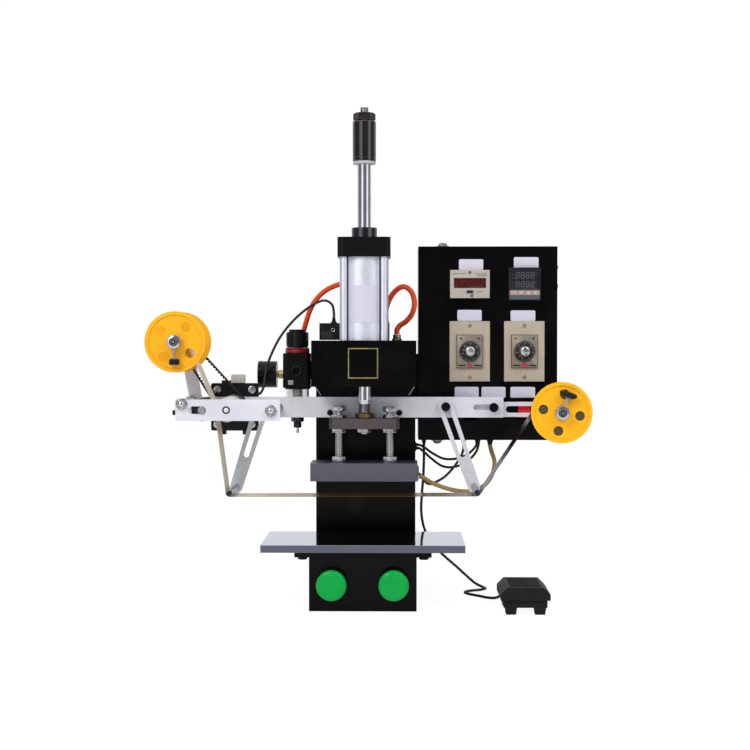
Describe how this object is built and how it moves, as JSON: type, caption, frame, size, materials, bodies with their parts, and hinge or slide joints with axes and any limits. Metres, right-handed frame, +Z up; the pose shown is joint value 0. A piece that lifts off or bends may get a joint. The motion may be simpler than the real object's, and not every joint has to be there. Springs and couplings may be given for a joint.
{
  "type": "hot foil stamping machine",
  "caption": "Bench-top pneumatic hot foil stamping press: C-frame, heated ram, foil feeder with reels, control box and foot switch.",
  "frame": {"origin": "on the floor, under the ram's axis, in the underside of the base", "axes": "+X to the operator's right, +Y away from the operator, +Z up along the ram"},
  "size_m": [0.628, 0.301, 0.714],
  "materials": {
    "black_paint": "gloss black enamel on steel",
    "white_paint": "white powder coat",
    "polished_steel": "ground and polished",
    "dark_steel": "milled, heat-tinted",
    "zinc_steel": "zinc plated",
    "yellow_zinc": "brass",
    "chrome_rod": "hard chrome, ground",
    "anodised_aluminium": "clear anodised extrusion",
    "black_oxide": "black oxide",
    "black_plastic": "moulded",
    "yellow_plastic": "moulded",
    "green_plastic": "moulded",
    "red_plastic": "moulded",
    "beige_plastic": "moulded",
    "clear_bowl": "clear polycarbonate",
    "belt_rubber": "moulded teeth",
    "roller_rubber": "ground silicone rubber",
    "bronze": "sintered bronze",
    "orange_hose": "extruded polyurethane",
    "cable_black": "extruded sheath",
    "braided_sleeve": "varnished glass braid",
    "foil": "gold stamping foil"
  },
  "bodies": {
    "frame": {"base_housing": "black_paint", "column": "black_paint", "head_box": "black_paint", "work_table": "polished_steel", "button_switches": "black_plastic", "cylinder_caps": "black_oxide", "cylinder_barrel": "anodised_aluminium", "tie_rods": "zinc_steel", "bushes": "bronze", "feed_beam": "white_paint", "front_plate": "white_paint", "reel_post": "white_paint", "feed_motor": "black_plastic", "feed_belt": "belt_rubber", "foil_web": "foil", "black_screws": "black_oxide", "zinc_fasteners": "zinc_steel", "regulator_body": "black_plastic", "filter_bowl": "clear_bowl", "gauge_case": "black_plastic", "solenoid_valve": "black_plastic", "hose_fittings": "yellow_zinc", "air_hoses": "orange_hose", "control_cables": "cable_black", "heater_leads": "braided_sleeve", "pedal_cord": "cable_black", "box_shell": "black_paint", "box_front": "black_paint", "counter": "beige_plastic", "temp_controller": "black_plastic", "timer_units": "beige_plastic", "pedal_base": "black_plastic"},
    "ram": {"piston_rod": "chrome_rod", "piston": "anodised_aluminium", "stop_sleeve": "black_oxide", "ram_nuts": "yellow_zinc", "cross_plate": "polished_steel", "hanging_bolts": "zinc_steel", "heater_block": "dark_steel", "heater_cartridges": "dark_steel"},
    "take_up": {"take_up_shaft": "zinc_steel", "take_up_reel": "yellow_plastic"},
    "motor_drive": {"drive_pulley": "polished_steel"},
    "button_left": {"button_left": "green_plastic"},
    "button_right": {"button_right": "green_plastic"},
    "supply_reel": {"supply_reel": "yellow_plastic"},
    "supply_arm": {"supply_arm": "white_paint"},
    "feed_roller": {"feed_roller": "roller_rubber"},
    "pinch_roller": {"pinch_roller": "zinc_steel"},
    "guide_arm_left": {"guide_arm_left": "white_paint"},
    "guide_arm_right": {"guide_arm_right": "white_paint"},
    "guide_roller_left": {"guide_roller_left": "polished_steel"},
    "guide_roller_right": {"guide_roller_right": "polished_steel"},
    "regulator_knob": {"regulator_knob": "black_plastic"},
    "counter_reset": {"counter_reset": "black_plastic"},
    "timer_dial_left": {"timer_dial_left": "black_plastic"},
    "timer_dial_right": {"timer_dial_right": "black_plastic"},
    "rocker_left": {"rocker_left": "red_plastic"},
    "rocker_right": {"rocker_right": "red_plastic"},
    "pedal_treadle": {"pedal_treadle": "black_plastic"}
  },
  "joints": [
    {"name": "ram_slide", "type": "slide", "parent": "frame", "child": "ram", "axis": [0, 0, -1], "range_m": [0, 0.075], "deforming": ["foil_web", "heater_leads"]},
    {"name": "button_left_push", "type": "slide", "parent": "frame", "child": "button_left", "axis": [0, 1, 0], "range_m": [0, 0.005], "stiffness_N_per_m": 400, "springref_m": -0.004},
    {"name": "button_right_push", "type": "slide", "parent": "frame", "child": "button_right", "axis": [0, 1, 0], "range_m": [0, 0.005], "stiffness_N_per_m": 400, "springref_m": -0.004},
    {"name": "take_up_spin", "type": "hinge", "parent": "frame", "child": "take_up", "pos_m": [-0.264, -0.04, 0.375], "axis": [0, 1, 0], "continuous": true},
    {"name": "motor_spin", "type": "hinge", "parent": "frame", "child": "motor_drive", "pos_m": [-0.1915, 0, 0.2795], "axis": [0, 1, 0], "continuous": true},
    {"name": "feed_roller_spin", "type": "hinge", "parent": "frame", "child": "feed_roller", "pos_m": [-0.1915, -0.04, 0.2795], "axis": [0, 1, 0], "continuous": true},
    {"name": "pinch_roller_spin", "type": "hinge", "parent": "frame", "child": "pinch_roller", "pos_m": [-0.2258, -0.04, 0.2795], "axis": [0, 1, 0], "continuous": true},
    {"name": "supply_arm_slide", "type": "slide", "parent": "frame", "child": "supply_arm", "axis": [1, 0, 0], "range_m": [-0.025, 0], "deforming": ["foil_web"]},
    {"name": "supply_spin", "type": "hinge", "parent": "supply_arm", "child": "supply_reel", "pos_m": [0.278, -0.04, 0.276], "axis": [0, 1, 0], "continuous": true},
    {"name": "guide_arm_left_swing", "type": "hinge", "parent": "frame", "child": "guide_arm_left", "pos_m": [-0.151, 0.015, 0.2805], "axis": [0, 1, 0], "range_deg": [-15, 15], "deforming": ["foil_web"]},
    {"name": "guide_arm_right_swing", "type": "hinge", "parent": "frame", "child": "guide_arm_right", "pos_m": [0.1185, 0.015, 0.2805], "axis": [0, 1, 0], "range_deg": [-15, 15], "deforming": ["foil_web"]},
    {"name": "guide_roller_left_spin", "type": "hinge", "parent": "guide_arm_left", "child": "guide_roller_left", "pos_m": [-0.18829, -0.03, 0.16224], "axis": [0, 1, 0], "continuous": true},
    {"name": "guide_roller_right_spin", "type": "hinge", "parent": "guide_arm_right", "child": "guide_roller_right", "pos_m": [0.15989, -0.03, 0.16361], "axis": [0, 1, 0], "continuous": true},
    {"name": "regulator_turn", "type": "hinge", "parent": "frame", "child": "regulator_knob", "pos_m": [-0.104, 0.1, 0.38], "axis": [0, 0, 1], "range_deg": [-720, 720]},
    {"name": "reset_push", "type": "slide", "parent": "frame", "child": "counter_reset", "axis": [0, 1, 0], "range_m": [0, 0.0015], "stiffness_N_per_m": 300, "springref_m": -0.002},
    {"name": "timer_left_turn", "type": "hinge", "parent": "frame", "child": "timer_dial_left", "pos_m": [0.156, 0.064, 0.361], "axis": [0, 1, 0], "range_deg": [0, 300]},
    {"name": "timer_right_turn", "type": "hinge", "parent": "frame", "child": "timer_dial_right", "pos_m": [0.2375, 0.064, 0.361], "axis": [0, 1, 0], "range_deg": [0, 300]},
    {"name": "rocker_left_tip", "type": "hinge", "parent": "frame", "child": "rocker_left", "pos_m": [0.156, 0.0745, 0.273], "axis": [1, 0, 0], "range_deg": [0, 20]},
    {"name": "rocker_right_tip", "type": "hinge", "parent": "frame", "child": "rocker_right", "pos_m": [0.2375, 0.0745, 0.273], "axis": [1, 0, 0], "range_deg": [0, 20]},
    {"name": "treadle_press", "type": "hinge", "parent": "frame", "child": "pedal_treadle", "pos_m": [0.2245, -0.037, 0.026], "axis": [1, 0, 0], "range_deg": [0, 4], "stiffness_Nm_per_rad": 4, "springref_deg": -3.44}
  ],
  "couplings": [
    {"joint": "motor_spin", "follows": "take_up_spin", "ratio": 0.4278},
    {"joint": "feed_roller_spin", "follows": "take_up_spin", "ratio": -0.7558},
    {"joint": "pinch_roller_spin", "follows": "take_up_spin", "ratio": 0.8125}
  ]
}
